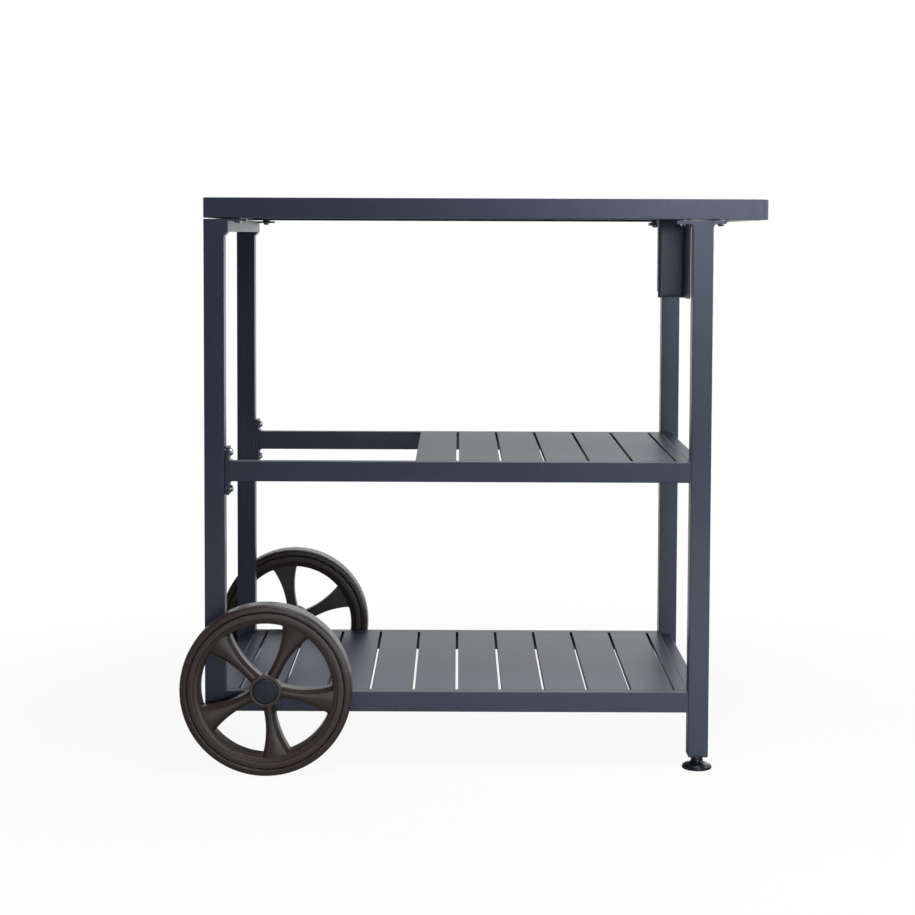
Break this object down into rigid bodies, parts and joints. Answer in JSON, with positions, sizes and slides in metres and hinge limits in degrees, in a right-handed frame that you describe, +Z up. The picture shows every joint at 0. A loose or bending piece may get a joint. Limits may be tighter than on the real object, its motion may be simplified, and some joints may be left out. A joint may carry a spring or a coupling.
{
  "type": "plancha grill trolley",
  "caption": "Grill trolley of powder-coated aluminium tube with slatted top, push handle, two slatted shelves, spoked wheels and levelling feet.",
  "frame": {"origin": "middle of the trolley's overall length and depth, on the ground", "axes": "+X along the trolley to the push handle, +Y from the front to the rear, +Z up"},
  "size_m": [0.867, 0.6, 0.85],
  "materials": {
    "frame_coat": "fine-texture powder coat, matt",
    "cap_plastic": "moulded, matt",
    "stainless": "turned and polished",
    "zinc_steel": "zinc plated",
    "tyre_plastic": "ribbed tread, satin sidewall",
    "wheel_plastic": "moulded, satin",
    "bush_plastic": "moulded, plain",
    "hub_cap_plastic": "moulded, matt",
    "foot_plastic": "moulded, glossy"
  },
  "bodies": {
    "frame": {"leg_front_left": "frame_coat", "leg_rear_left": "frame_coat", "leg_front_right": "frame_coat", "leg_rear_right": "frame_coat", "leg_heads_left": "frame_coat", "leg_heads_right": "frame_coat", "left_cross_rail": "frame_coat", "leg_caps_left": "cap_plastic", "leg_inserts_right": "frame_coat", "top_front_rail": "frame_coat", "top_rear_rail": "frame_coat", "top_left_rail": "frame_coat", "top_inner_rail": "frame_coat", "handle_bar": "frame_coat", "top_slats": "frame_coat", "mid_front_rail": "frame_coat", "mid_rear_rail": "frame_coat", "mid_right_rail": "frame_coat", "mid_slats": "frame_coat", "mid_plate_front": "frame_coat", "mid_plate_rear": "frame_coat", "low_front_rail": "frame_coat", "low_rear_rail": "frame_coat", "low_left_rail": "frame_coat", "low_right_rail": "frame_coat", "low_slats": "frame_coat", "axle_bracket_front": "frame_coat", "axle_bracket_rear": "frame_coat", "stub_axle_front": "zinc_steel", "stub_axle_rear": "zinc_steel", "axle_washers": "zinc_steel", "axle_nuts": "zinc_steel", "top_bolts": "stainless", "top_rivet_nuts": "zinc_steel", "mid_bolts": "stainless", "mid_washers": "stainless", "mid_rivet_nuts": "zinc_steel", "hanger": "frame_coat", "hanger_screws": "zinc_steel"},
    "front_wheel": {"tyre_front": "tyre_plastic", "wheel_front": "wheel_plastic", "bushes_front": "bush_plastic", "hub_cap_front": "hub_cap_plastic"},
    "rear_wheel": {"tyre_rear": "tyre_plastic", "wheel_rear": "wheel_plastic", "bushes_rear": "bush_plastic", "hub_cap_rear": "hub_cap_plastic"},
    "front_foot": {"foot_front": "foot_plastic", "foot_stud_front": "zinc_steel"},
    "rear_foot": {"foot_rear": "foot_plastic", "foot_stud_rear": "zinc_steel"}
  },
  "joints": [
    {"name": "front_wheel_spin", "type": "hinge", "parent": "frame", "child": "front_wheel", "pos_m": [-0.3065, -0.276, 0.127], "axis": [0, 1, 0], "continuous": true},
    {"name": "rear_wheel_spin", "type": "hinge", "parent": "frame", "child": "rear_wheel", "pos_m": [-0.3065, 0.276, 0.127], "axis": [0, 1, 0], "continuous": true},
    {"name": "front_foot_screw", "type": "slide", "parent": "frame", "child": "front_foot", "axis": [0, 0, -1], "range_m": [0, 0.01]},
    {"name": "rear_foot_screw", "type": "slide", "parent": "frame", "child": "rear_foot", "axis": [0, 0, -1], "range_m": [0, 0.01]}
  ]
}
